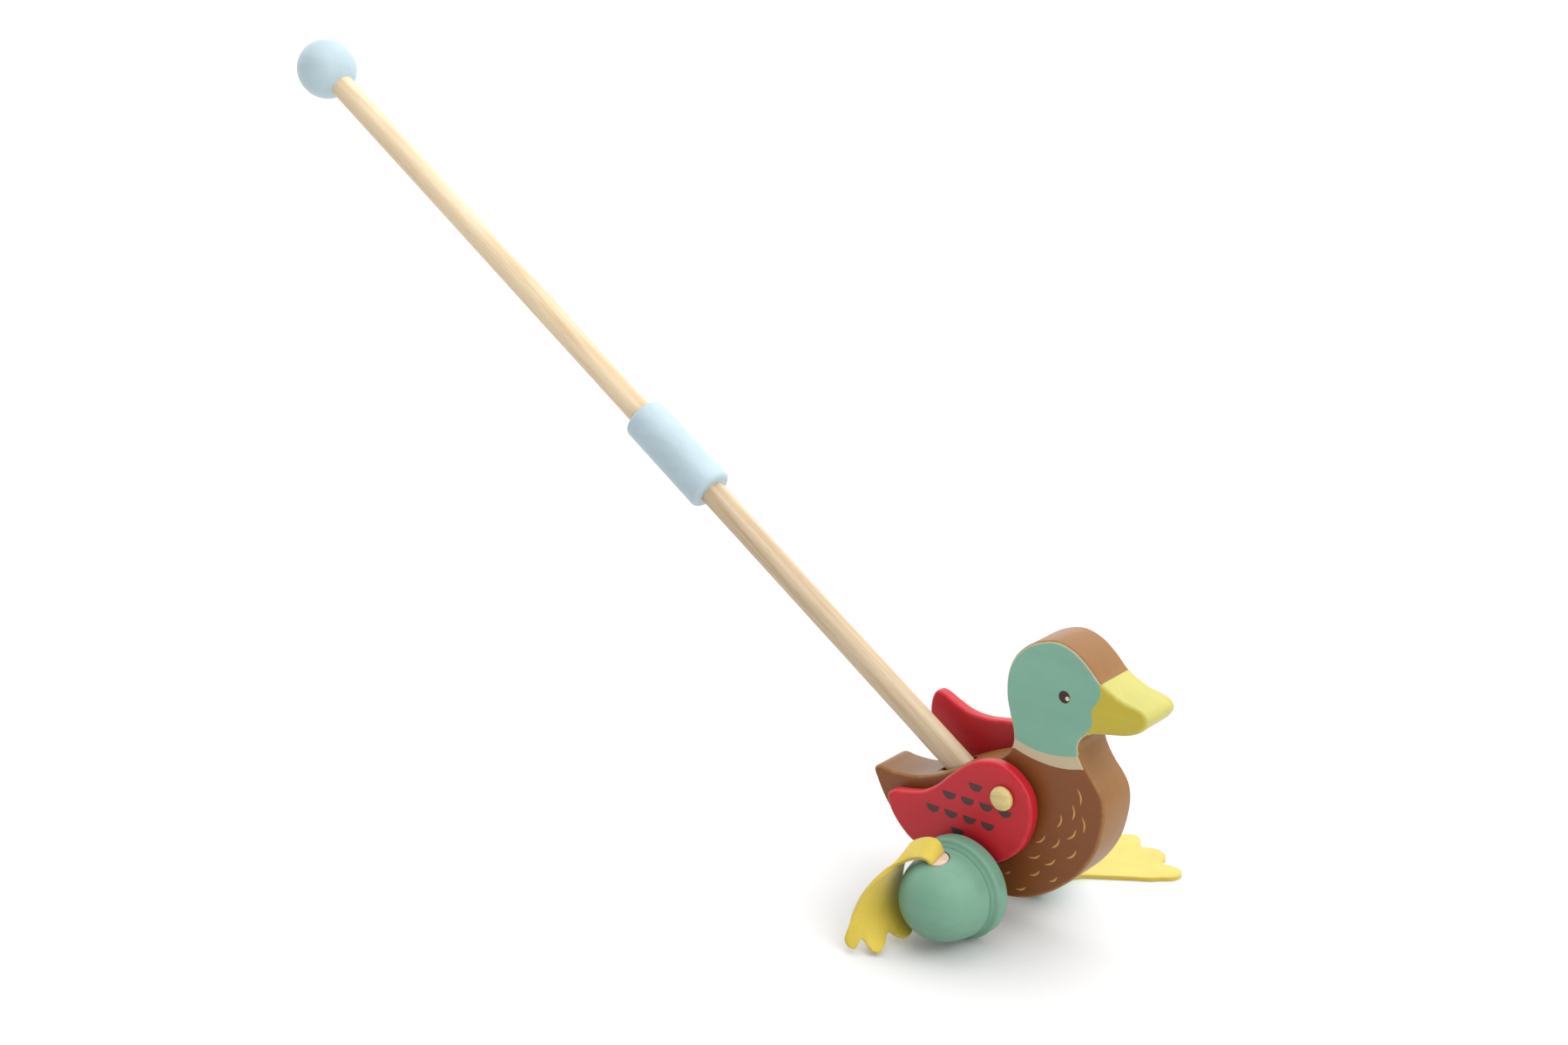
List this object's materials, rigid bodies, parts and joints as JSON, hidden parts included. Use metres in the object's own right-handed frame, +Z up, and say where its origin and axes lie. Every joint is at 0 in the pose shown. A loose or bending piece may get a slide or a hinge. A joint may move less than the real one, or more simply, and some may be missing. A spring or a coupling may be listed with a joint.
{
  "type": "push-along duck toy",
  "caption": "Wooden duck on a push rod with a ball grip, hinged wings, egg-shaped wheels and floppy leather feet.",
  "frame": {"origin": "on the ground, midway between the wheels, straight under the axle", "axes": "+X forward (the beak), +Y the duck's left, +Z up"},
  "size_m": [0.6394, 0.2121, 0.4383],
  "materials": {
    "body_paint": "brown satin paint with a teal head, cream collar and yellow beak",
    "rod_wood": "natural wood, clear satin lacquer",
    "blue_paint": "pale blue satin paint",
    "peg_wood": "natural turned wood, waxed",
    "red_paint": "red satin paint with dark half-moon marks",
    "green_paint": "sage green satin paint over turned wood",
    "plug_wood": "bare cut wood",
    "yellow_leather": "dyed yellow leather with cut edges"
  },
  "bodies": {
    "duck": {"duck_body": "body_paint", "rod_lower": "rod_wood", "rod_upper": "rod_wood", "rod_sleeve": "blue_paint", "ball_knob": "blue_paint", "wing_peg_right": "peg_wood", "wing_peg_left": "peg_wood", "wing_washer_right": "peg_wood", "wing_washer_left": "peg_wood"},
    "wheelset": {"axle": "rod_wood", "hub_spacer_right": "rod_wood", "hub_spacer_left": "rod_wood", "wheel_right": "green_paint", "wheel_left": "green_paint", "strap_plug_right": "plug_wood", "strap_plug_left": "plug_wood", "foot_tab_right": "yellow_leather", "foot_tab_left": "yellow_leather"},
    "right_wing": {"wing_right": "red_paint"},
    "left_wing": {"wing_left": "red_paint"},
    "right_foot": {"foot_right": "yellow_leather"},
    "left_foot": {"foot_left": "yellow_leather"}
  },
  "joints": [
    {"name": "wheels_roll", "type": "hinge", "parent": "duck", "child": "wheelset", "pos_m": [0, 0, 0.0285], "axis": [0, 1, 0], "continuous": true},
    {"name": "wing_flap_right", "type": "hinge", "parent": "duck", "child": "right_wing", "pos_m": [0.021, -0.02, 0.084], "axis": [0, 1, 0], "range_deg": [0, 36]},
    {"name": "wing_flap_left", "type": "hinge", "parent": "duck", "child": "left_wing", "pos_m": [0.021, 0.02, 0.084], "axis": [0, 1, 0], "range_deg": [-36, 0]},
    {"name": "foot_flex_right", "type": "hinge", "parent": "wheelset", "child": "right_foot", "pos_m": [-0.0042, -0.0508, 0.0548], "axis": [0, 0.8434, 0.5373], "range_deg": [0, 30]},
    {"name": "foot_flex_left", "type": "hinge", "parent": "wheelset", "child": "left_foot", "pos_m": [0.0028, 0.0527, 0.0028], "axis": [0.8829, -0.4695, 0], "range_deg": [0, 25]}
  ]
}
